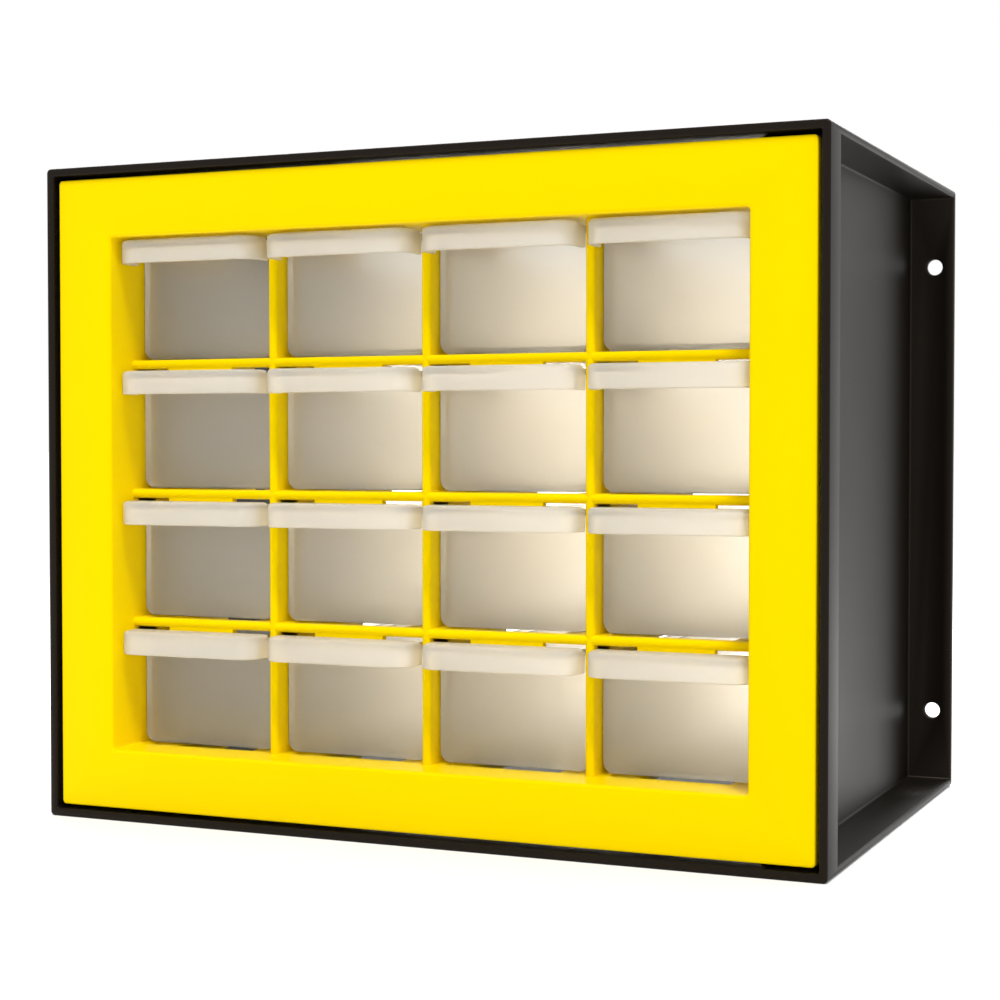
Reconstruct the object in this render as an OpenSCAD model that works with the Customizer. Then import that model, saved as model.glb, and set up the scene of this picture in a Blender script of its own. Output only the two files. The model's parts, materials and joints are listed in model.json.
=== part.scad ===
// Small parts bin cabinet: an open-backed case that hangs on a wall or stands on a bench,
// a snap-in front frame with a grid of cells, and one sliding drawer in each cell.
// The origin is under the middle of the case. The front faces -Y and the rear flanges face +Y.

/* [Drawer grid] */
// Number of drawer columns
cols = 4; // [1:1:8]
// Number of drawer rows
rows = 4; // [1:1:8]
// Clear width of one cell
cell_w = 52.2; // [40:0.1:80]
// Clear height of one cell, from its floor bar to its ceiling bar
cell_h = 40.1; // [34:0.1:60]
// Thickness of the dividers between cells
divider_t = 3; // [2:0.1:5]
// How far the dividers' noses lie behind the bezel's face
lattice_setback = 12.6; // [9:0.1:20]
// Depth of the upright cell walls, from their noses to their rear ends
cell_wall_depth = 14; // [10:0.5:24]
// Depth of the bars between rows, from their noses to their backs
bar_depth = 4; // [3.5:0.1:8]

/* [Runners and stops] */
// Depth of the runner beams, from the dividers' noses to their rear ends
runner_depth = 61; // [30:1:120]
// Width of the flange on each side of a runner beam
flange_w = 11.6; // [6:0.1:14]
// Thickness of the flanges
flange_t = 1.5; // [1:0.1:2]
// Width of the rail on top of a flange that a drawer slides on
rail_w = 3.4; // [2:0.1:6]
// How far the rails' tops stand above the floor bar
rail_rise = 0.1; // [0.1:0.1:1]
// How far a runner beam's web hangs into the cells below it
web_drop = 6.5; // [5:0.1:9]
// Width of the stop tab under a cell's ceiling
stop_w = 24.5; // [10:0.5:36]
// How far the stop tab hangs below the ceiling
stop_drop = 1.6; // [1.2:0.1:2]
// Depth of the stop tab, front to back
stop_depth = 3; // [1.5:0.1:3.4]

/* [Front frame] */
// Width of the bezel beside the opening, left and right
bezel_side = 20.1; // [18:0.1:40]
// Height of the bezel above and below the opening
bezel_band = 19.3; // [12:0.1:40]
// Thickness of the bezel's face
bezel_t = 2.4; // [1.5:0.1:3]
// Thickness of the bezel's outer skirt
skirt_t = 2; // [1:0.1:3]
// Thickness of the reveal around the opening
reveal_t = 1.5; // [1:0.1:2.5]
// How far the bezel's face lies behind the case's front edge
bezel_setback = 1.4; // [0.5:0.1:3]
// Gap between the bezel and the case's rim
rim_gap = 1.4; // [0.5:0.1:3]

/* [Case] */
// Depth of the case, front edge to back
case_d = 180; // [150:1:240]
// Wall thickness of the case
case_wall = 2.6; // [2:0.1:3.2]
// Depth of the rim band around the front
rim_depth = 12.2; // [9:0.1:18]
// How far the side walls lie in from the case's sides
side_recess = 15.8; // [10:0.1:17.5]
// Radius of the case's four long edges
case_corner_r = 1.5; // [0.5:0.1:2]

/* [Wall mounting] */
// Diameter of the screw holes in the rear flanges
screw_hole_d = 5.5; // [4:0.1:7]
// Height between the lower and the upper screw holes
screw_pitch_z = 161; // [60:1:180]
// Distance from a screw hole's centre to the case's side
screw_edge = 7; // [5:0.1:10]

/* [Snap hooks] */
// Length of a snap hook along the frame's side
hook_len = 14; // [6:1:24]
// Depth of a snap hook's ramp
hook_ramp = 6; // [3:0.1:10]
// How far a snap hook stands out
hook_reach = 2.2; // [1:0.1:3]
// Height from the middle hook to the upper and lower ones
hook_pitch_z = 60; // [20:1:70]

/* [Drawers] */
// Wall and floor thickness of a drawer
drawer_wall = 1.5; // [1:0.1:2]
// How far a drawer's front wall lies behind the dividers' noses
front_setback = 6.5; // [5:0.1:12]
// Space between a drawer's rear wall and the case's back
rear_space = 10; // [2:1:30]
// Radius of a drawer's lower long edges
drawer_corner_r = 3.5; // [2:0.1:6]
// Height from a cell's ceiling down to the top of its drawer's side walls
side_wall_drop = 4.5; // [2.5:0.1:12]
// Width of the tongue on the rear wall that meets the stop tab
tongue_w = 30; // [12:1:40]

/* [Drawer lip] */
// Height of the lip's face
lip_h = 7.7; // [6.5:0.1:12]
// How far the lip's face stands in front of the dividers' noses
lip_reach = 10.2; // [5:0.1:11]
// Wall thickness of the lip
lip_wall = 1.6; // [1.2:0.1:2]
// How far the lip's ends run back beside the dividers' noses
lip_end_depth = 1.7; // [0:0.1:3]
// Plan radius of the lip's front corners
lip_corner_r = 6; // [2:0.1:7]

/* [Clearances] */
// Between a drawer's side and its cell wall
side_clear = 0.6; // [0.3:0.1:1]
// Between a drawer and the rails under it
run_clear = 0.25; // [0.2:0.05:0.6]
// Between a lip's end and its cell wall
lip_clear = 0.25; // [0.2:0.05:0.6]
// Between a lip's top and the ceiling over it
lip_top_clear = 0.9; // [0.4:0.1:1.1]
// Between a drawer and a stop that it reaches
stop_clear = 0.3; // [0.2:0.05:0.5]
// Between the frame and the case where they meet
seat_clear = 0.2; // [0.1:0.05:0.4]

/* [Hidden] */
$fn = 48;

function drawer_name(row, col) = str("drawer_row", row, "_col", col);

cut = 1; // how far a cutter runs past what it cuts

// Cells
pitch_x = cell_w + divider_t;
pitch_z = cell_h + divider_t;
opening_w = cols * pitch_x - divider_t;
opening_h = rows * pitch_z - divider_t;

// Case
case_rim_t = case_wall + rim_gap;
case_w = opening_w + 2 * (bezel_side + case_rim_t);
case_h = opening_h + 2 * (bezel_band + case_rim_t);
front_y = -case_d / 2;
back_y = case_d / 2;
side_wall_x = case_w / 2 - side_recess; // outer face of a side wall
return_back_y = front_y + rim_depth;
return_front_y = return_back_y - case_wall;

// Frame
bezel_y = front_y + bezel_setback;
nose_y = bezel_y + lattice_setback;
bar_back_y = nose_y + bar_depth;
wall_back_y = nose_y + cell_wall_depth;
runner_back_y = nose_y + runner_depth;
opening_z = case_rim_t + bezel_band; // floor of the opening
bezel_w = case_w - 2 * case_rim_t;
bezel_h = case_h - 2 * case_rim_t;
skirt_depth = return_front_y - seat_clear - bezel_y;
frame_side_x = opening_w / 2 + reveal_t; // outer face of the frame's cell block
catch_x = frame_side_x + seat_clear; // inner edge of the case's catch lips
stop_back_y = bar_back_y - (bar_depth - stop_depth) / 2;
stop_front_y = stop_back_y - stop_depth;

// Drawer, in its own cell: x from the cell's middle, z from the cell's floor
drawer_w = cell_w - 2 * side_clear;
drawer_z = rail_rise + run_clear;
drawer_front_y = nose_y + front_setback;
drawer_back_y = back_y - rear_space;
side_wall_top = cell_h - side_wall_drop;
tongue_top = cell_h - stop_drop / 2;
lip_w = cell_w - 2 * lip_clear;
lip_top = cell_h - lip_top_clear;
lip_z = lip_top - lip_h;
lip_front_y = nose_y - lip_reach;
lip_step_y = stop_front_y - stop_clear; // where the lip steps down under the stop tab
bridge_top = cell_h - stop_drop - stop_clear;

function cell_x(col) = (col - (cols + 1) / 2) * pitch_x;
function cell_z(row) = opening_z + (rows - row) * pitch_z;

// A block between two corners
module block(low, high) {
    translate(low) cube(high - low);
}

// A rectangle about the origin with four round corners
module round_rect(w, h, r) {
    square([w - 2 * r, h], center = true);
    square([w, h - 2 * r], center = true);
    for (x = [-1, 1])
        for (z = [-1, 1])
            translate([x * (w / 2 - r), z * (h / 2 - r)]) circle(r);
}

// Stands an outline drawn in X and Z upright and runs it from y0 to y1
module run_back(y0, y1) {
    translate([0, y1, 0]) rotate([90, 0, 0]) linear_extrude(y1 - y0) children();
}

// An upright divider's plan: a round nose and a straight wall behind it
module divider_plan(wall_back) {
    translate([0, nose_y + divider_t / 2]) circle(d = divider_t);
    translate([-divider_t / 2, nose_y + divider_t / 2])
        square([divider_t, wall_back - nose_y - divider_t / 2]);
}

module case_tube() {
    middle = [0, case_h / 2];
    difference() {
        run_back(front_y, back_y)
            translate(middle) round_rect(case_w, case_h, case_corner_r);
        run_back(front_y - cut, return_front_y)
            translate(middle) square([case_w - 2 * case_wall, case_h - 2 * case_wall], center = true);
        block([-catch_x, front_y, case_wall], [catch_x, back_y + cut, case_h - case_wall]);
        block([-side_wall_x + case_wall, return_back_y, case_wall],
            [side_wall_x - case_wall, back_y + cut, case_h - case_wall]);
        for (side = [-1, 1]) side_pocket(side);
    }
}

// The pocket outside a side wall, between the rim band and the rear flange
module side_pocket(side) {
    near = side_wall_x;
    far = case_w / 2 + cut;
    block([side > 0 ? near : -far, return_back_y, case_wall],
        [side > 0 ? far : -near, back_y - case_wall, case_h - case_wall]);
}

module screw_holes() {
    for (side = [-1, 1])
        for (level = [-1, 1])
            translate([side * (case_w / 2 - screw_edge), back_y + cut,
                case_h / 2 + level * screw_pitch_z / 2])
                rotate([90, 0, 0]) cylinder(h = case_wall + 2 * cut, d = screw_hole_d);
}

// The black housing
module case_shell() {
    color([0.09, 0.09, 0.09]) difference() {
        case_tube();
        screw_holes();
    }
}

module bezel() {
    outer = [bezel_w, bezel_h];
    difference() {
        run_back(bezel_y, bezel_y + skirt_depth) translate([0, case_h / 2]) square(outer, center = true);
        run_back(bezel_y + bezel_t, bezel_y + skirt_depth + cut)
            translate([0, case_h / 2])
                square(outer - [2 * skirt_t, 2 * skirt_t], center = true);
        run_back(bezel_y - cut, bezel_y + skirt_depth)
            translate([0, case_h / 2]) square([opening_w, opening_h], center = true);
    }
}

// The walls around the opening, from the bezel's face back to the bars
module reveal() {
    difference() {
        block([-frame_side_x, bezel_y, opening_z - reveal_t],
            [frame_side_x, bar_back_y, opening_z + opening_h + reveal_t]);
        block([-opening_w / 2, bezel_y - cut, opening_z],
            [opening_w / 2, bar_back_y + cut, opening_z + opening_h]);
    }
}

module upright_walls() {
    low = opening_z - reveal_t;
    height = opening_h + 2 * reveal_t;
    for (i = [1:1:cols - 1])
        translate([cell_x(i) + pitch_x / 2, 0, low])
            linear_extrude(height) divider_plan(wall_back_y);
    for (side = [-1, 1])
        translate([side * (opening_w + reveal_t) / 2 - reveal_t / 2, nose_y, low])
            cube([reveal_t, wall_back_y - nose_y, height]);
}

module row_bars() {
    for (j = [1:1:rows - 1])
        translate([-opening_w / 2, nose_y, cell_z(j) - divider_t / 2])
            rotate([90, 0, 90]) linear_extrude(opening_w) {
                translate([divider_t / 2, 0]) circle(d = divider_t);
                translate([divider_t / 2, -divider_t / 2])
                    square([bar_depth - divider_t / 2, divider_t]);
            }
}

// A runner beam's cross-section: a web under the divider, a flange on each side and a rail on each
// flange. Its origin is on the divider's middle line, level with the floor of the cells above it.
module runner_section(has_rails) {
    top = has_rails ? rail_rise : 0;
    translate([-divider_t / 2, -divider_t - web_drop])
        square([divider_t, divider_t + web_drop + top]);
    translate([-divider_t / 2 - flange_w, -(divider_t + flange_t) / 2])
        square([divider_t + 2 * flange_w, flange_t]);
    if (has_rails)
        translate([-divider_t / 2 - rail_w, -divider_t / 2])
            square([divider_t + 2 * rail_w, divider_t / 2 + rail_rise]);
}

// The runner beams behind every crossing of the grid, cut off at the cell block's sides
module runners() {
    for (level = [0:rows]) {
        floor_z = opening_z + (rows - level) * pitch_z;
        run_back(bar_back_y - cut, runner_back_y)
            translate([0, floor_z])
                intersection() {
                    for (i = [0:cols])
                        translate([cell_x(i) + pitch_x / 2, 0]) runner_section(level > 0);
                    translate([-frame_side_x, -pitch_z]) square([2 * frame_side_x, 2 * pitch_z]);
                }
    }
}

module stop_tab() {
    block([-stop_w / 2, stop_front_y, cell_h - stop_drop], [stop_w / 2, stop_back_y, cell_h]);
}

// Hooks on the frame's sides that catch behind the case's lips
module snap_hooks() {
    for (side = [0, 1])
        mirror([side, 0, 0])
            for (level = [-1, 0, 1])
                translate([frame_side_x, return_back_y + seat_clear,
                    case_h / 2 + level * hook_pitch_z - hook_len / 2])
                    linear_extrude(hook_len)
                        polygon([[0, 0], [hook_reach, 0], [0, hook_ramp]]);
}

// The yellow front frame with its grid of cells
module front_frame() {
    color([1, 0.91, 0]) {
        bezel();
        reveal();
        upright_walls();
        row_bars();
        runners();
        snap_hooks();
        for (row = [1:rows])
            for (col = [1:cols])
                translate([cell_x(col), 0, cell_z(row)]) stop_tab();
    }
}

// A drawer's cross-section: upright sides and round lower edges
module drawer_section(w, low, high, r) {
    translate([-w / 2, low + r]) square([w, high - low - r]);
    translate([-w / 2 + r, low]) square([w - 2 * r, r]);
    for (side = [-1, 1]) translate([side * (w / 2 - r), low + r]) circle(r);
}

module drawer_tub() {
    inner_r = drawer_corner_r - drawer_wall;
    difference() {
        run_back(drawer_front_y, drawer_back_y)
            drawer_section(drawer_w, drawer_z, side_wall_top, drawer_corner_r);
        run_back(drawer_front_y + drawer_wall, drawer_back_y - drawer_wall)
            drawer_section(drawer_w - 2 * drawer_wall, drawer_z + drawer_wall,
                side_wall_top + cut, inner_r);
    }
}

// The front wall's upper part and the rear wall's tongue
module end_walls() {
    block([-drawer_w / 2, drawer_front_y, side_wall_top - drawer_wall],
        [drawer_w / 2, drawer_front_y + drawer_wall, bridge_top]);
    block([-tongue_w / 2, drawer_back_y - drawer_wall, side_wall_top - drawer_wall],
        [tongue_w / 2, drawer_back_y, tongue_top]);
}

// The lip's plan: round front corners, square at the back
module lip_plan(inset) {
    w = lip_w - 2 * inset;
    r = lip_corner_r - inset;
    front = lip_front_y + inset;
    translate([-w / 2, front + r]) square([w, drawer_front_y - front - r]);
    translate([-w / 2 + r, front]) square([w - 2 * r, r]);
    for (side = [-1, 1]) translate([side * (w / 2 - r), front + r]) circle(r);
}

// The hooked lip: a face with round ends hanging from a top plate, and only the plate behind those ends
module lip() {
    difference() {
        translate([0, 0, lip_z]) linear_extrude(lip_h) lip_plan(0);
        translate([0, 0, lip_z - cut])
            linear_extrude(bridge_top - lip_wall - lip_z + cut) lip_plan(lip_wall);
        block([-lip_w, lip_step_y, bridge_top], [lip_w, drawer_front_y + cut, lip_top + cut]);
        block([-lip_w, nose_y + lip_end_depth, lip_z - cut],
            [lip_w, drawer_front_y + cut, bridge_top - lip_wall]);
    }
}

// One frosted drawer in its cell
module drawer(row, col) {
    color([0.9, 0.87, 0.8]) translate([cell_x(col), 0, cell_z(row)]) {
        drawer_tub();
        end_walls();
        lip();
    }
}

case_shell();  // case
front_frame();
for (row = [1:rows])
    for (col = [1:cols])
        drawer(row, col);
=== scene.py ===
"""Small parts cabinet in a plain studio: a black moulded case, a yellow snap-in front frame with a grid
of cells, and a frosted drawer in each cell. Sizes that the solids share are read from the frame."""

import json
import math
from functools import partial

import bmesh
import bpy
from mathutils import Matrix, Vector

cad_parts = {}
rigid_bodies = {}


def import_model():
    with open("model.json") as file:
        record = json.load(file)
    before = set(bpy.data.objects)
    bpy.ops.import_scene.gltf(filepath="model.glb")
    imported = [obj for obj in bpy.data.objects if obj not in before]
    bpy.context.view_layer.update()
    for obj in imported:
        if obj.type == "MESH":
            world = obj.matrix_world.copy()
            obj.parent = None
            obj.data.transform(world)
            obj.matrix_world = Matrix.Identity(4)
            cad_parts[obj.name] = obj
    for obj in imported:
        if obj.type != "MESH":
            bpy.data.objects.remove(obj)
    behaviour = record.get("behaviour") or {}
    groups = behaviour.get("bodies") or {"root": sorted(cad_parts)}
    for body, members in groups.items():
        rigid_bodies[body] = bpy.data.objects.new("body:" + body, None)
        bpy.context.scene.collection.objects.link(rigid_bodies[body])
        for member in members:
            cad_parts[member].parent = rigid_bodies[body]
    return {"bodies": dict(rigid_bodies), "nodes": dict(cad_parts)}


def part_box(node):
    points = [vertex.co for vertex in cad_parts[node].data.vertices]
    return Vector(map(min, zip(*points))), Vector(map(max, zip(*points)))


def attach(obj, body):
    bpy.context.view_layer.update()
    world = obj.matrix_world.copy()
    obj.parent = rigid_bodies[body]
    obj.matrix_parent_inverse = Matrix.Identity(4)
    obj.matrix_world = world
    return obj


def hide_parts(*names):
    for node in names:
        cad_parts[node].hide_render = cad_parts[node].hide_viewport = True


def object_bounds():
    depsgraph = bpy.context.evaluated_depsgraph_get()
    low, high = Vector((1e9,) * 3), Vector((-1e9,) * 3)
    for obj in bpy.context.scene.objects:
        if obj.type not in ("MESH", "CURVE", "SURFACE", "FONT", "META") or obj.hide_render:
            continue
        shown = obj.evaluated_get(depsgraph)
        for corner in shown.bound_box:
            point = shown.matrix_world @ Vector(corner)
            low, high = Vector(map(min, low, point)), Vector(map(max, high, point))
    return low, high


bl_info = {
    "name": "Parts Bin Cabinet",
    "version": (1, 0, 0),
    "blender": (4, 5, 0),
    "location": "View3D > Sidebar > Cabinet",
    "description": "Builds a small parts cabinet with sliding drawers, and the studio it stands in",
    "category": "Object",
}

MM = 0.001
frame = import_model()
CAD_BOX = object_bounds()
CABINET = "cabinet"
DRAWERS = sorted(name for name in frame["bodies"] if name != CABINET)
EDGE_ANGLE = math.radians(50)  # an edge that turns further than this is rounded
SMOOTH_ANGLE = math.radians(35)  # and one that turns less than this is shaded smooth
FLAT_ANGLE = math.radians(0.5)  # triangles within this of each other are one flat face
ROUND_STEPS = 3  # facets across a rounded edge
WELD = 0.004 * MM  # a solid's loose triangles are joined at points nearer than this
TOUCHING = 0.01 * MM  # edges nearer than this to a plane lie in it
LIP_SLACK = 0.05 * MM  # a face further than this before a drawer's front wall is on its lip
FACING = 0.2  # a face whose normal has more than this towards the front looks that way
SENSOR_WIDTH = 36  # of the camera, in millimetres


# ---------------------------------------------------------------------------------------------
# Sizes and colours
# ---------------------------------------------------------------------------------------------


def linear(hex_colour):
    """An sRGB hex colour as linear red, green, blue and alpha."""
    parts = [int(hex_colour[i:i + 2], 16) / 255 for i in (1, 3, 5)]
    return [c / 12.92 if c <= 0.04045 else ((c + 0.055) / 1.055) ** 2.4 for c in parts] + [1.0]


WHITE = linear("#FFFFFF")


def length(name, millimetres, description, least=0):
    """A size that a user may change, given in millimetres and kept in metres."""
    return bpy.props.FloatProperty(
        name=name, description=description, default=millimetres * MM, min=least * MM, precision=4,
        unit="LENGTH")


def colour(name, hex_colour, description):
    """A colour that a user may change."""
    return bpy.props.FloatVectorProperty(
        name=name, description=description, default=linear(hex_colour), size=4, min=0, max=1,
        subtype="COLOR")


class CabinetSizes(bpy.types.PropertyGroup):
    """Sizes that the mouldings' finish needs beyond what the frame gives."""

    divider: length("Divider", 3, "Thickness of the dividers between cells")
    lattice_setback: length("Lattice Setback", 12.6, "From the bezel's face back to the dividers' noses")
    front_setback: length("Front Setback", 6.5, "From the dividers' noses back to the drawers' fronts")
    bar_depth: length("Bar Depth", 4, "Depth of the bars between rows")
    wall_depth: length("Wall Depth", 14, "Depth of the upright walls between cells")
    reveal: length("Reveal", 1.5, "Thickness of the walls around the opening")
    bezel: length("Bezel", 2.4, "Thickness of the bezel's face")
    skirt: length("Skirt", 2, "Thickness of the bezel's outer skirt")
    skirt_depth: length("Skirt Depth", 8, "Depth of the bezel's outer skirt")
    flange_width: length("Flange Width", 11.6, "Width of the flange on each side of a runner beam")
    flange: length("Flange", 1.5, "Thickness of the flanges")
    rail_width: length("Rail Width", 3.4, "Width of the rails that a drawer slides on")
    rail_rise: length("Rail Rise", 0.1, "How far the rails stand above the bar under a cell")
    web_drop: length("Web Drop", 6.5, "How far a runner beam's web hangs into the cells below it")
    hook_setback: length("Hook Setback", 12.4, "From the case's front edge back to the snap hooks")
    hook_length: length("Hook Length", 14, "Length of a snap hook along the frame's side")
    hook_ramp: length("Hook Ramp", 6, "Depth of a snap hook's ramp")
    hook_reach: length("Hook Reach", 2.2, "How far a snap hook stands out")
    hook_pitch: length("Hook Pitch", 60, "Height from the middle hook to the upper and lower ones")
    stop_width: length("Stop Width", 24.5, "Width of the stop tab under a cell's ceiling")
    stop_drop: length("Stop Drop", 1.6, "How far the stop tab hangs down")
    stop_depth: length("Stop Depth", 3, "Depth of the stop tab")
    opening_round: length("Opening Rounding", 1.2, "Radius of the bezel's edge around the opening")
    bezel_round: length("Bezel Rounding", 0.6, "Radius of the bezel's outer edge")
    bezel_corner: length("Bezel Corner", 1.2, "Radius of the bezel's corners", least=0.1)
    case_round: length("Case Rounding", 0.7, "Radius of the case's edges")
    drawer_round: length("Drawer Rounding", 0.5, "Radius of the drawers' edges")
    lip_round: length("Lip Rounding", 1.3, "Radius of the top edge of a drawer's lip")
    rib_round: length("Rib Rounding", 0.3, "Radius of the edges of runners and stop tabs")


class CabinetColours(bpy.types.PropertyGroup):
    """Colours of the plastics and the studio."""

    case: colour("Case", "#0B0907", "Black polystyrene of the case")
    case_sheen: colour("Case Sheen", "#FFE4CC", "Tint of the light that the case mirrors")
    front: colour("Front", "#FFDE00", "Yellow polystyrene of the front frame")
    front_sheen: colour("Front Sheen", "#FFE200", "Tint of the light that the front frame mirrors")
    drawer: colour("Drawer", "#FFFAF0", "Natural polypropylene of the drawers")
    floor: colour("Floor", "#F4F4F4", "Studio floor")


class StudioSettings(bpy.types.PropertyGroup):
    """The camera and the lamps."""

    lens: bpy.props.FloatProperty(
        name="Lens", description="Focal length on a 36 mm sensor, in millimetres", default=72.6, min=10)
    camera_place: bpy.props.FloatVectorProperty(
        name="Camera Place", description="Where the camera stands", default=(0.2757, -0.6468, 0.1254),
        subtype="TRANSLATION")
    camera_yaw: bpy.props.FloatProperty(
        name="Camera Yaw", description="Turn of the camera to the left of straight ahead",
        default=math.radians(23.65), subtype="ANGLE")
    camera_tilt: bpy.props.FloatProperty(
        name="Camera Tilt", description="Downward tilt of the camera", default=math.radians(1.66),
        subtype="ANGLE")
    sky: bpy.props.FloatProperty(
        name="Sky", description="Strength of the even light from all sides", default=0.6, min=0)
    key_strength: bpy.props.FloatProperty(
        name="Key Strength", description="Strength of the broad light from above the front", default=2,
        min=0)
    key_from: bpy.props.FloatVectorProperty(
        name="Key From", description="Direction that the broad light comes from",
        default=(0.3, -0.38, 0.87), subtype="DIRECTION")
    key_spread: bpy.props.FloatProperty(
        name="Key Spread", description="Angle that the broad light fills, which softens its shadows",
        default=math.radians(12), subtype="ANGLE")
    back_power: bpy.props.FloatProperty(
        name="Back Power", description="Power of the soft box above the open back, in watts", default=12,
        min=0)
    back_place: bpy.props.FloatVectorProperty(
        name="Back Place", description="Where the soft box behind hangs", default=(-0.2, 0.6, 0.7),
        subtype="TRANSLATION")
    back_size: bpy.props.FloatVectorProperty(
        name="Back Size", description="Width and height of the soft box behind", default=(1, 0.5), size=2,
        subtype="XYZ_LENGTH")
    floor_glow: bpy.props.FloatProperty(
        name="Floor Glow", description="Light that the floor adds where it is looked at",
        default=0.12, min=0)
    floor_reach: bpy.props.FloatProperty(
        name="Floor Reach", description="Half the width of the floor", default=20, min=1, unit="LENGTH")


# ---------------------------------------------------------------------------------------------
# Mesh helpers
# ---------------------------------------------------------------------------------------------


def finish_piece(piece, material, body, nodes):
    """Gives a finished piece its plastic and its body, and hides the solids that it stands for."""
    piece.data.materials.clear()
    piece.data.materials.append(material)
    piece.data.shade_smooth()
    piece.data.set_sharp_from_angle(angle=SMOOTH_ANGLE)
    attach(piece, body)
    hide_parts(*nodes)


def add_object(name, data):
    """A new object in the scene that holds a mesh, a lamp or a camera."""
    added = bpy.data.objects.new(name, data)
    bpy.context.scene.collection.objects.link(added)
    return added


def object_from(bm, name):
    """A new object whose mesh is the finished bmesh."""
    mesh = bpy.data.meshes.new(name)
    bm.to_mesh(mesh)
    bm.free()
    return add_object(name, mesh)


def applied(piece):
    """Turns the modifiers on a piece into plain mesh."""
    bpy.context.view_layer.update()
    graph = bpy.context.evaluated_depsgraph_get()
    mesh = bpy.data.meshes.new_from_object(piece.evaluated_get(graph), depsgraph=graph)
    piece.modifiers.clear()
    old, piece.data = piece.data, mesh
    bpy.data.meshes.remove(old)
    return piece


def bevelled(piece, width, limit):
    """Rounds the edges that the limit names, without sliding a corner along its flat faces."""
    bevel = piece.modifiers.new("Rounding", "BEVEL")
    bevel.width = width
    bevel.segments = ROUND_STEPS
    bevel.limit_method = limit
    bevel.angle_limit = EDGE_ANGLE
    bevel.use_clamp_overlap = False
    bevel.loop_slide = False
    return applied(piece)


def round_edges(piece, width):
    """Rounds every sharp edge, as a mould's polished edges are."""
    return bevelled(piece, width, "ANGLE")


def round_drawer(piece, width, lip_width, lip_back_y):
    """Rounds a drawer's edges, most of all the top edge of its lip, which the fingers pull."""
    mesh = piece.data
    bm = bmesh.new()
    bm.from_mesh(mesh)
    weight = bm.edges.layers.float.new("bevel_weight_edge")
    lip_top = max(vert.co.z for vert in bm.verts if vert.co.y < lip_back_y)
    for edge in bm.edges:
        middle = (edge.verts[0].co + edge.verts[1].co) / 2
        if edge.calc_face_angle(0) > EDGE_ANGLE:
            edge[weight] = width / lip_width
            if abs(middle.z - lip_top) < TOUCHING and middle.y < lip_back_y:
                edge[weight] = 1
    bm.to_mesh(mesh)
    bm.free()
    return bevelled(piece, lip_width, "WEIGHT")


def moulding_from(node, name):
    """A copy of a solid whose loose triangles are joined into whole flat faces."""
    mesh = frame["nodes"][node].data.copy()
    mesh.name = name
    bm = bmesh.new()
    bm.from_mesh(mesh)
    bmesh.ops.remove_doubles(bm, verts=bm.verts, dist=WELD)
    bmesh.ops.dissolve_limit(
        bm, angle_limit=FLAT_ANGLE, verts=bm.verts, edges=bm.edges, delimit=set())
    bm.to_mesh(mesh)
    bm.free()
    return add_object(name, mesh)


def box_into(bm, low, high):
    """Adds a block between two corners."""
    size = Vector(high) - Vector(low)
    made = bmesh.ops.create_cube(bm, size=1)["verts"]
    for vert in made:
        vert.co = Vector(low) + Vector((c + 0.5) * s for c, s in zip(vert.co, size))


def rounded_rectangle(half_width, half_height, radius, steps=6):
    """Corners of a rectangle with round corners, as points in X and Z."""
    points = []
    for turn, (x, z) in enumerate([(1, 1), (-1, 1), (-1, -1), (1, -1)]):
        for step in range(steps + 1):
            angle = math.pi / 2 * (turn + step / steps)
            points.append((
                x * (half_width - radius) + radius * math.cos(angle),
                z * (half_height - radius) + radius * math.sin(angle)))
    return points


def ring_shell(name, rings, middle_z):
    """A closed shell through rounded rectangles (half width, half height, corner radius, depth)."""
    bm = bmesh.new()
    loops = [
        [bm.verts.new((x, depth, middle_z + z)) for x, z in rounded_rectangle(half_w, half_h, radius)]
        for half_w, half_h, radius, depth in rings]
    for near, far in zip(loops, loops[1:] + loops[:1]):
        for i in range(len(near)):
            j = (i + 1) % len(near)
            bm.faces.new((near[i], near[j], far[j], far[i]))
    bmesh.ops.recalc_face_normals(bm, faces=bm.faces)
    return object_from(bm, name)


def prism_into(bm, outline, run):
    """Adds a closed bar with the given outline, a list of 3-D points, that goes along a vector."""
    near = [bm.verts.new(point) for point in outline]
    far = [bm.verts.new(Vector(point) + Vector(run)) for point in outline]
    faces = [bm.faces.new(near), bm.faces.new(reversed(far))]
    for i in range(len(near)):
        j = (i + 1) % len(near)
        faces.append(bm.faces.new((near[j], near[i], far[i], far[j])))
    bmesh.ops.recalc_face_normals(bm, faces=faces)


def prism(name, outline, run):
    """A closed bar as an object of its own."""
    bm = bmesh.new()
    prism_into(bm, outline, run)
    return object_from(bm, name)


# ---------------------------------------------------------------------------------------------
# Node trees
# ---------------------------------------------------------------------------------------------


def add_node(tree, kind, links=(), values=(), **settings):
    """Adds a node with its settings, its sockets' values and the links that feed it."""
    node = tree.nodes.new(kind)
    for key, value in settings.items():
        setattr(node, key, value)
    for target, value in values:
        node.inputs[target].default_value = value
    for source, target in links:
        tree.links.new(source, node.inputs[target])
    return node


def looked_at(add):
    """A socket that is 1 for a ray that looks at a surface, straight, mirrored or through plastic."""
    path = add("ShaderNodeLightPath").outputs
    direct = add("ShaderNodeMath", [(path["Is Camera Ray"], 0), (path["Is Transmission Ray"], 1)],
                 operation="MAXIMUM")
    either = add("ShaderNodeMath", [(direct.outputs[0], 0), (path["Is Glossy Ray"], 1)],
                 operation="MAXIMUM")
    return either.outputs[0]


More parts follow.
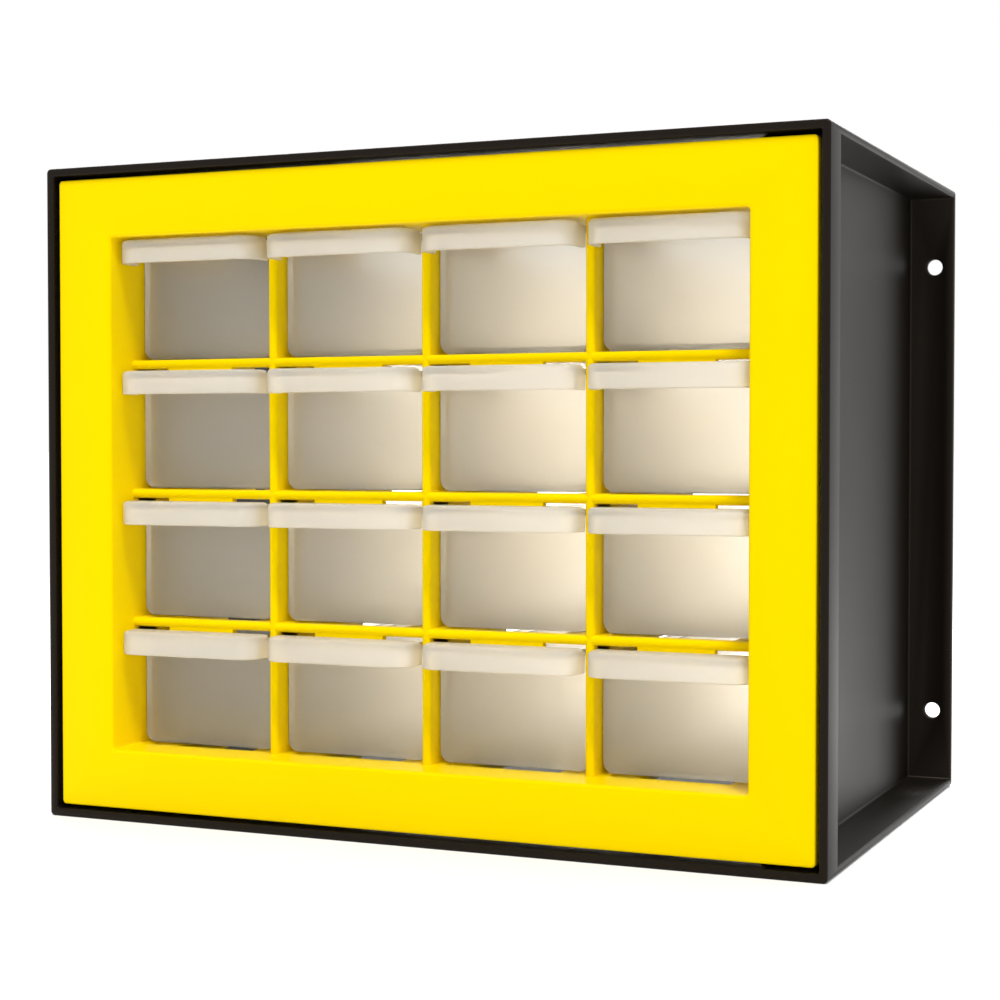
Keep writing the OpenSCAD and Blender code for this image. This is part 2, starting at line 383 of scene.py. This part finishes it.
def cell_grid_tree():
    """A tree that repeats a piece along X and Z, one copy for each cell or line of cells."""
    tree = bpy.data.node_groups.new("Cell Grid", "GeometryNodeTree")
    sockets = [
        ("Geometry", "NodeSocketGeometry"), ("Columns", "NodeSocketInt"), ("Rows", "NodeSocketInt"),
        ("Column Step", "NodeSocketFloat"), ("Row Step", "NodeSocketFloat"),
        ("Plastic", "NodeSocketMaterial")]
    for name, kind in sockets:
        tree.interface.new_socket(name, in_out="INPUT", socket_type=kind)
    tree.interface.new_socket("Geometry", in_out="OUTPUT", socket_type="NodeSocketGeometry")

    add = partial(add_node, tree)
    given = add("NodeGroupInput").outputs
    column_step = add("ShaderNodeCombineXYZ", [(given["Column Step"], "X")])
    row_step = add("ShaderNodeCombineXYZ", [(given["Row Step"], "Z")])
    column_line = add("GeometryNodeMeshLine", [
        (given["Columns"], "Count"), (column_step.outputs[0], "Offset")])
    row_line = add("GeometryNodeMeshLine", [(given["Rows"], "Count"), (row_step.outputs[0], "Offset")])
    grid = add("GeometryNodeInstanceOnPoints", [
        (column_line.outputs["Mesh"], "Points"), (row_line.outputs["Mesh"], "Instance")])
    grid_points = add("GeometryNodeRealizeInstances", [(grid.outputs[0], "Geometry")])
    copies = add("GeometryNodeInstanceOnPoints", [
        (grid_points.outputs[0], "Points"), (given["Geometry"], "Instance")])
    whole = add("GeometryNodeRealizeInstances", [(copies.outputs[0], "Geometry")])
    plastic = add("GeometryNodeSetMaterial", [
        (whole.outputs[0], "Geometry"), (given["Plastic"], "Material")])
    add("NodeGroupOutput", [(plastic.outputs[0], "Geometry")])
    return tree


def repeat_on_grid(piece, columns, rows, column_step, row_step, plastic):
    """Repeats a piece that stands in the lower left cell over the grid of cells."""
    tree = bpy.data.node_groups.get("Cell Grid") or cell_grid_tree()
    modifier = piece.modifiers.new("Cell Grid", "NODES")
    modifier.node_group = tree
    values = {
        "Columns": columns, "Rows": rows, "Column Step": column_step, "Row Step": row_step,
        "Plastic": plastic}
    for item in tree.interface.items_tree:
        if item.item_type == "SOCKET" and item.in_out == "INPUT" and item.name in values:
            modifier[item.identifier] = values[item.name]
    return applied(piece)


# ---------------------------------------------------------------------------------------------
# Materials
# ---------------------------------------------------------------------------------------------


def shader_tree(name):
    """A new material, its tree, its Principled shader and the function that adds a node to it."""
    material = bpy.data.materials.new(name)
    material.use_nodes = True
    tree = material.node_tree
    return material, tree, tree.nodes["Principled BSDF"], partial(add_node, tree)


def black_case_plastic():
    """Black polystyrene, injection moulded in a spark-eroded tool: deep black with a satin sheen."""
    material, tree, shader, add = shader_tree("black_polystyrene_satin_moulded")
    place = add("ShaderNodeTexCoord").outputs["Object"]
    shader.inputs["Base Color"].default_value = bpy.context.scene.cabinet_colours.case
    # Below polystyrene's 1.59, because its fine grain mirrors less than a polished face
    shader.inputs["IOR"].default_value = 1.28
    shader.inputs["Specular Tint"].default_value = bpy.context.scene.cabinet_colours.case_sheen
    # The tool's grain is about 0.05 mm, too fine to show, so it is drawn 0.5 mm wide
    grain = add("ShaderNodeTexNoise", [(place, "Vector")], [("Scale", 1 / (0.5 * MM)), ("Detail", 2)])
    # The sheen drifts a little over patches of 60 mm
    patches = add("ShaderNodeTexNoise", [(place, "Vector")], [("Scale", 1 / (60 * MM)), ("Detail", 3)])
    gloss = add("ShaderNodeMapRange", [(patches.outputs["Fac"], "Value")],
                [("To Min", 0.38), ("To Max", 0.46)])
    tree.links.new(gloss.outputs["Result"], shader.inputs["Roughness"])
    bump = add("ShaderNodeBump", [(grain.outputs["Fac"], "Height")],
               [("Strength", 0.12), ("Distance", 0.05 * MM)])
    tree.links.new(bump.outputs["Normal"], shader.inputs["Normal"])
    return material


def yellow_frame_plastic():
    """Yellow polystyrene, injection moulded in a smooth tool: strong colour and a low, even sheen."""
    material, tree, shader, add = shader_tree("yellow_polystyrene_moulded")
    place = add("ShaderNodeTexCoord").outputs["Object"]
    # Below polystyrene's 1.59, because the photograph shows almost no white sheen on it
    shader.inputs["IOR"].default_value = 1.2
    shader.inputs["Specular Tint"].default_value = bpy.context.scene.cabinet_colours.front_sheen
    # The pigment lies a shade deeper in soft clouds, where the melt flowed
    main = bpy.context.scene.cabinet_colours.front
    deeper = [part * share for part, share in zip(main, (0.985, 0.97, 0.9, 1))]
    clouds = add("ShaderNodeTexNoise", [(place, "Vector")], [("Scale", 1 / (45 * MM)), ("Detail", 2)])
    tint = add("ShaderNodeMix", [(clouds.outputs["Fac"], "Factor")], [("A", deeper), ("B", main)],
               data_type="RGBA")
    tree.links.new(tint.outputs["Result"], shader.inputs["Base Color"])
    gloss = add("ShaderNodeMapRange", [(clouds.outputs["Fac"], "Value")],
                [("To Min", 0.3), ("To Max", 0.36)])
    tree.links.new(gloss.outputs["Result"], shader.inputs["Roughness"])
    # The tool's polishing marks are too fine to show, so they are drawn 0.4 mm wide and shallow
    grain = add("ShaderNodeTexNoise", [(place, "Vector")], [("Scale", 1 / (0.4 * MM)), ("Detail", 1)])
    bump = add("ShaderNodeBump", [(grain.outputs["Fac"], "Height")],
               [("Strength", 0.06), ("Distance", 0.04 * MM)])
    tree.links.new(bump.outputs["Normal"], shader.inputs["Normal"])
    return material


def frosted_drawer_plastic(name, clear):
    """Natural polypropylene, moulded in an etched tool: milky, and blurs what is behind it.

    The share of light that goes straight through falls as the wall gets thicker."""
    material, tree, shader, add = shader_tree(name)
    place = add("ShaderNodeTexCoord").outputs["Object"]
    shader.inputs["Base Color"].default_value = bpy.context.scene.cabinet_colours.drawer
    # Below polypropylene's 1.49, so that light comes through the thin walls nearly unbent
    shader.inputs["IOR"].default_value = 1.25
    shader.inputs["Transmission Weight"].default_value = clear
    haze = add("ShaderNodeTexNoise", [(place, "Vector")], [("Scale", 1 / (20 * MM)), ("Detail", 3)])
    frost = add("ShaderNodeMapRange", [(haze.outputs["Fac"], "Value")],
                [("To Min", 0.44), ("To Max", 0.52)])
    tree.links.new(frost.outputs["Result"], shader.inputs["Roughness"])
    # The etching is too fine to show, so its grain is drawn 0.4 mm wide
    grain = add("ShaderNodeTexNoise", [(place, "Vector")], [("Scale", 1 / (0.4 * MM)), ("Detail", 1)])
    bump = add("ShaderNodeBump", [(grain.outputs["Fac"], "Height")],
               [("Strength", 0.08), ("Distance", 0.04 * MM)])
    tree.links.new(bump.outputs["Normal"], shader.inputs["Normal"])
    return material


def studio_floor_paper(glow):
    """Matt white seamless paper: a soft shadow, no sheen, and no edge against the white backdrop."""
    material, tree, shader, add = shader_tree("studio_paper")
    shader.inputs["Base Color"].default_value = bpy.context.scene.cabinet_colours.floor
    shader.inputs["Roughness"].default_value = 0.9
    shader.inputs["Specular IOR Level"].default_value = 0.1
    shine = add("ShaderNodeEmission", values=[("Strength", glow)])
    seen = add("ShaderNodeMixShader", [(looked_at(add), "Fac"), (shine.outputs[0], 2)])
    total = add("ShaderNodeAddShader", [(shader.outputs[0], 0), (seen.outputs[0], 1)])
    tree.links.new(total.outputs[0], tree.nodes["Material Output"].inputs["Surface"])
    return material


# ---------------------------------------------------------------------------------------------
# Front frame geometry
# ---------------------------------------------------------------------------------------------


class Lattice:
    """Where the front frame's cells lie, from the frame's boxes and the sizes above."""

    def __init__(self, sizes):
        low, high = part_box("front_frame")
        starts_x = sorted({round(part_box(d)[0].x, 4) for d in DRAWERS})
        starts_z = sorted({round(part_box(d)[0].z, 4) for d in DRAWERS})
        self.columns, self.rows = len(starts_x), len(starts_z)
        self.pitch_x = starts_x[1] - starts_x[0]
        self.pitch_z = starts_z[1] - starts_z[0]
        self.cell_w = self.pitch_x - sizes.divider
        self.cell_h = self.pitch_z - sizes.divider
        self.half_w = (self.columns * self.pitch_x - sizes.divider) / 2
        self.half_h = (self.rows * self.pitch_z - sizes.divider) / 2
        self.middle_z = (low.z + high.z) / 2
        self.left, self.floor = -self.half_w, self.middle_z - self.half_h
        self.bezel_y, self.back_y = low.y, high.y
        self.bezel_half_w, self.bezel_half_h = high.x, (high.z - low.z) / 2
        self.nose_y = self.bezel_y + sizes.lattice_setback
        self.bar_back_y = self.nose_y + sizes.bar_depth
        self.wall_back_y = self.nose_y + sizes.wall_depth
        self.sunk = sizes.divider / 3  # how far runners and stop tabs reach into the bars


def quarter(radius, steps=4):
    """Points on a quarter circle about the origin, as pairs."""
    angles = [math.pi / 2 * i / steps for i in range(steps + 1)]
    return [(radius * math.cos(angle), radius * math.sin(angle)) for angle in angles]


def build_bezel(sizes, cells):
    """The flat bezel, its skirt and the walls around the opening, as one shell."""
    edge, outer_edge = sizes.opening_round, sizes.bezel_round
    bezel_back, skirt_back = cells.bezel_y + sizes.bezel, cells.bezel_y + sizes.skirt_depth
    corner = sizes.bezel_corner
    inner = [(0, cells.bar_back_y)]
    inner += [(edge - x, cells.bezel_y + edge - y) for x, y in quarter(edge)]
    outer = [(outer_edge - x, cells.bezel_y + outer_edge - y) for x, y in reversed(quarter(outer_edge))]
    outer += [(0, skirt_back), (sizes.skirt, skirt_back), (sizes.skirt, bezel_back)]
    rings = [(cells.half_w + out, cells.half_h + out, corner + out, depth) for out, depth in inner]
    rings += [
        (cells.bezel_half_w - inset, cells.bezel_half_h - inset, corner, depth) for inset, depth in outer]
    rings += [
        (cells.half_w + sizes.reveal, cells.half_h + sizes.reveal, corner, depth)
        for depth in (bezel_back, cells.bar_back_y)]
    return ring_shell("bezel", rings, cells.middle_z)


def nose_outline(thickness, depth, steps=12):
    """A wall's outline from its round nose back, as pairs (across, back)."""
    half = thickness / 2
    nose = [
        (-half * math.cos(math.pi * i / steps), half - half * math.sin(math.pi * i / steps))
        for i in range(steps + 1)]
    return [(-half, depth)] + nose + [(half, depth)]


def build_dividers(sizes, cells, plastic):
    """The upright dividers between columns, round at the front."""
    x = cells.left + cells.cell_w + sizes.divider / 2
    bottom = cells.floor - sizes.reveal
    outline = [
        (x + across, cells.nose_y + back, bottom)
        for across, back in nose_outline(sizes.divider, sizes.wall_depth)]
    piece = prism("dividers", outline, (0, 0, 2 * (cells.half_h + sizes.reveal)))
    return repeat_on_grid(piece, cells.columns - 1, 1, cells.pitch_x, 0, plastic)


def build_row_bars(sizes, cells, plastic):
    """The bars between rows, round at the front."""
    z = cells.floor + cells.cell_h + sizes.divider / 2
    outline = [
        (cells.left - sizes.reveal / 2, cells.nose_y + back, z + across)
        for across, back in nose_outline(sizes.divider, sizes.bar_depth)]
    piece = prism("row_bars", outline, (2 * cells.half_w + sizes.reveal, 0, 0))
    return repeat_on_grid(piece, 1, cells.rows - 1, 0, cells.pitch_z, plastic)


def build_side_walls(sizes, cells):
    """The outer walls of the block of cells, left and right."""
    bm = bmesh.new()
    low_z, high_z = cells.floor - sizes.reveal, cells.floor + 2 * cells.half_h + sizes.reveal
    for side in (-1, 1):
        near, far = side * cells.half_w, side * (cells.half_w + sizes.reveal)
        low = (min(near, far), cells.bar_back_y, low_z)
        box_into(bm, low, (max(near, far), cells.wall_back_y, high_z))
    return object_from(bm, "side_walls")


def runner_outline(sizes, left, right, railed):
    """A runner beam's outline in X and Z about the divider's middle line, cut off at left and right."""
    half, middle = sizes.divider / 2, -sizes.divider / 2
    top = sizes.rail_rise if railed else 0
    rail = half + (sizes.rail_width if railed else 0)
    flange = half + sizes.flange_width
    upper, lower = middle + sizes.flange / 2, middle - sizes.flange / 2
    foot = -sizes.divider - sizes.web_drop
    points = [
        (-half, foot), (half, foot), (half, lower), (flange, lower), (flange, upper), (rail, upper),
        (rail, top), (-rail, top), (-rail, upper), (-flange, upper), (-flange, lower), (-half, lower)]
    points = [(min(max(x, left), right), z) for x, z in points]
    return [p for i, p in enumerate(points) if p != points[i - 1]]


def build_runners(sizes, cells, plastic):
    """The beams behind the grid's crossings that carry and guide the drawers."""
    front = cells.bar_back_y - cells.sunk
    half, inside = sizes.divider / 2, sizes.reveal - sizes.divider / 2
    lines = [
        ("runners", cells.left + cells.cell_w + half, -1, 1, cells.columns - 1),
        ("left_runners", cells.left - half, -inside, 1, 1),
        ("right_runners", cells.left + 2 * cells.half_w + half, -1, inside, 1)]
    ceiling = cells.floor + cells.rows * cells.pitch_z
    levels = [("", cells.floor, True, cells.rows), ("top_", ceiling, False, 1)]
    pieces = []
    for line, x, left, right, columns in lines:
        for level, z, railed, rows in levels:
            outline = runner_outline(sizes, left, right, railed)
            points = [(x + across, front, z + up) for across, up in outline]
            piece = prism(level + line, points, (0, cells.back_y - front, 0))
            piece = round_edges(piece, sizes.rib_round)
            pieces.append(repeat_on_grid(piece, columns, rows, cells.pitch_x, cells.pitch_z, plastic))
    return pieces


def build_snap_hooks(sizes, cells):
    """The hooks on the frame's sides that catch behind the case's lips."""
    bm = bmesh.new()
    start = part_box("case")[0].y + sizes.hook_setback
    side = cells.half_w + sizes.reveal
    for sign in (-1, 1):
        for step in (-1, 0, 1):
            z = cells.middle_z + step * sizes.hook_pitch - sizes.hook_length / 2
            outline = [
                (sign * side, start, z), (sign * (side + sizes.hook_reach), start, z),
                (sign * side, start + sizes.hook_ramp, z)]
            prism_into(bm, outline, (0, 0, sizes.hook_length))
    return round_edges(object_from(bm, "snap_hooks"), sizes.rib_round)


def build_stop_tabs(sizes, cells, plastic):
    """The tab under each cell's ceiling that a drawer stops against."""
    bm = bmesh.new()
    middle = cells.left + cells.cell_w / 2
    ceiling = cells.floor + cells.cell_h
    back = cells.bar_back_y - (sizes.bar_depth - sizes.stop_depth) / 2
    box_into(
        bm, (middle - sizes.stop_width / 2, back - sizes.stop_depth, ceiling - sizes.stop_drop),
        (middle + sizes.stop_width / 2, back, ceiling + cells.sunk))
    piece = round_edges(object_from(bm, "stop_tabs"), sizes.rib_round)
    return repeat_on_grid(piece, cells.columns, cells.rows, cells.pitch_x, cells.pitch_z, plastic)


# ---------------------------------------------------------------------------------------------
# Operators
# ---------------------------------------------------------------------------------------------


class CABINET_OT_case(bpy.types.Operator):
    """Dress the black case: rounded mould edges and satin plastic"""

    bl_idname = "cabinet.case"
    bl_label = "Case"

    def execute(self, context):
        piece = round_edges(moulding_from("case", "moulded_case"), context.scene.cabinet_sizes.case_round)
        finish_piece(piece, black_case_plastic(), CABINET, ["case"])
        return {"FINISHED"}


class CABINET_OT_front_frame(bpy.types.Operator):
    """Build the yellow front frame: bezel, grid of cells, runners, stop tabs and snap hooks"""

    bl_idname = "cabinet.front_frame"
    bl_label = "Front Frame"

    def execute(self, context):
        sizes = context.scene.cabinet_sizes
        cells = Lattice(sizes)
        plastic = yellow_frame_plastic()
        pieces = [
            build_bezel(sizes, cells), build_side_walls(sizes, cells),
            build_dividers(sizes, cells, plastic), build_row_bars(sizes, cells, plastic),
            build_stop_tabs(sizes, cells, plastic), build_snap_hooks(sizes, cells)]
        pieces += build_runners(sizes, cells, plastic)
        for piece in pieces:
            finish_piece(piece, plastic, CABINET, ["front_frame"])
        return {"FINISHED"}


class CABINET_OT_drawers(bpy.types.Operator):
    """Dress the sliding drawers: rounded edges and frosted plastic"""

    bl_idname = "cabinet.drawers"
    bl_label = "Drawers"

    def execute(self, context):
        thin = frosted_drawer_plastic("natural_polypropylene_thin_wall", clear=0.97)
        thick = frosted_drawer_plastic("natural_polypropylene_thick_lip", clear=0.62)
        etched = frosted_drawer_plastic("natural_polypropylene_etched_front", clear=0.8)
        sizes = context.scene.cabinet_sizes
        nose_y = Lattice(sizes).nose_y
        wall_y = nose_y + sizes.front_setback
        for drawer in DRAWERS:
            moulding = moulding_from(drawer, f"frosted_{drawer}")
            piece = round_drawer(moulding, sizes.drawer_round, sizes.lip_round, nose_y)
            finish_piece(piece, thin, drawer, [drawer])
            piece.data.materials.append(thick)
            piece.data.materials.append(etched)
            for face in piece.data.polygons:
                if face.center.y < wall_y - LIP_SLACK:
                    face.material_index = 1
                elif face.center.y < wall_y + sizes.drawer_round and face.normal.y < -FACING:
                    face.material_index = 2
        return {"FINISHED"}


class CABINET_OT_stage(bpy.types.Operator):
    """Build the studio: floor, even light, lamps and the camera"""

    bl_idname = "cabinet.stage"
    bl_label = "Studio"

    def execute(self, context):
        scene = context.scene
        scene.view_settings.view_transform = "Standard"
        settings = scene.cabinet_studio
        self.camera(scene, settings)
        self.world(scene, settings)
        self.key_light(settings)
        self.back_light(settings)
        self.floor(settings)
        return {"FINISHED"}

    def camera(self, scene, settings):
        """A camera where the photograph was taken from."""
        camera = add_object("camera", bpy.data.cameras.new("camera"))
        camera.data.lens = settings.lens
        camera.data.sensor_width = SENSOR_WIDTH
        camera.location = settings.camera_place
        camera.rotation_euler = (math.pi / 2 - settings.camera_tilt, 0, settings.camera_yaw)
        scene.camera = camera

    def key_light(self, settings):
        """Broad soft light from above the front."""
        lamp = add_object("key_light", bpy.data.lights.new("key_light", "SUN"))
        lamp.data.energy = settings.key_strength
        lamp.data.angle = settings.key_spread
        lamp.rotation_euler = Vector(settings.key_from).to_track_quat("Z", "Y").to_euler()

    def back_light(self, settings):
        """A soft box behind, which shines through the open back into the frosted drawers."""
        lamp = add_object("back_light", bpy.data.lights.new("back_light", "AREA"))
        lamp.data.shape = "RECTANGLE"
        lamp.data.size, lamp.data.size_y = settings.back_size
        lamp.data.energy = settings.back_power
        lamp.location = settings.back_place
        aim = lamp.location - (CAD_BOX[0] + CAD_BOX[1]) / 2
        lamp.rotation_euler = aim.to_track_quat("Z", "Y").to_euler()

    def world(self, scene, settings):
        """An even sky that lights the object, and a white backdrop wherever it is looked at."""
        world = bpy.data.worlds.new("studio")
        scene.world = world
        world.use_nodes = True
        tree = world.node_tree
        add = partial(add_node, tree)
        light = tree.nodes["Background"]
        light.inputs["Color"].default_value = WHITE
        light.inputs["Strength"].default_value = settings.sky
        backdrop = add("ShaderNodeBackground", values=[("Color", WHITE)])
        mix = add("ShaderNodeMixShader", [
            (looked_at(add), "Fac"), (light.outputs[0], 1), (backdrop.outputs[0], 2)])
        tree.links.new(mix.outputs[0], tree.nodes["World Output"].inputs["Surface"])

    def floor(self, settings):
        """A flat sheet of paper that keeps the object's shadow."""
        bm = bmesh.new()
        bmesh.ops.create_grid(bm, x_segments=1, y_segments=1, size=settings.floor_reach)
        piece = object_from(bm, "floor")
        piece.data.materials.append(studio_floor_paper(settings.floor_glow))


class CABINET_PT_panel(bpy.types.Panel):
    """Lists the cabinet's pieces and the studio"""

    bl_label = "Parts Cabinet"
    bl_idname = "CABINET_PT_panel"
    bl_space_type = "VIEW_3D"
    bl_region_type = "UI"
    bl_category = "Cabinet"

    def draw(self, context):
        for operator in OPERATORS:
            self.layout.operator(operator.bl_idname)
        for group in GROUPS:
            settings = getattr(context.scene, group)
            box = self.layout.box()
            for name in settings.__annotations__:
                box.prop(settings, name)


OPERATORS = (CABINET_OT_case, CABINET_OT_front_frame, CABINET_OT_drawers, CABINET_OT_stage)
GROUPS = {
    "cabinet_sizes": CabinetSizes, "cabinet_colours": CabinetColours, "cabinet_studio": StudioSettings}


def register():
    """Registers the settings, the operators and the panel."""
    for group in GROUPS.values():
        bpy.utils.register_class(group)
    for name, group in GROUPS.items():
        setattr(bpy.types.Scene, name, bpy.props.PointerProperty(type=group))
    for kind in (*OPERATORS, CABINET_PT_panel):
        bpy.utils.register_class(kind)


def unregister():
    """Takes back what register added."""
    for kind in (CABINET_PT_panel, *reversed(OPERATORS)):
        bpy.utils.unregister_class(kind)
    for name in GROUPS:
        delattr(bpy.types.Scene, name)
    for group in GROUPS.values():
        bpy.utils.unregister_class(group)


def main():
    """Builds the cabinet and its studio."""
    register()
    bpy.ops.cabinet.case()
    bpy.ops.cabinet.front_frame()
    bpy.ops.cabinet.drawers()
    bpy.ops.cabinet.stage()
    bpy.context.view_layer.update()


if __name__ == "__main__":
    main()
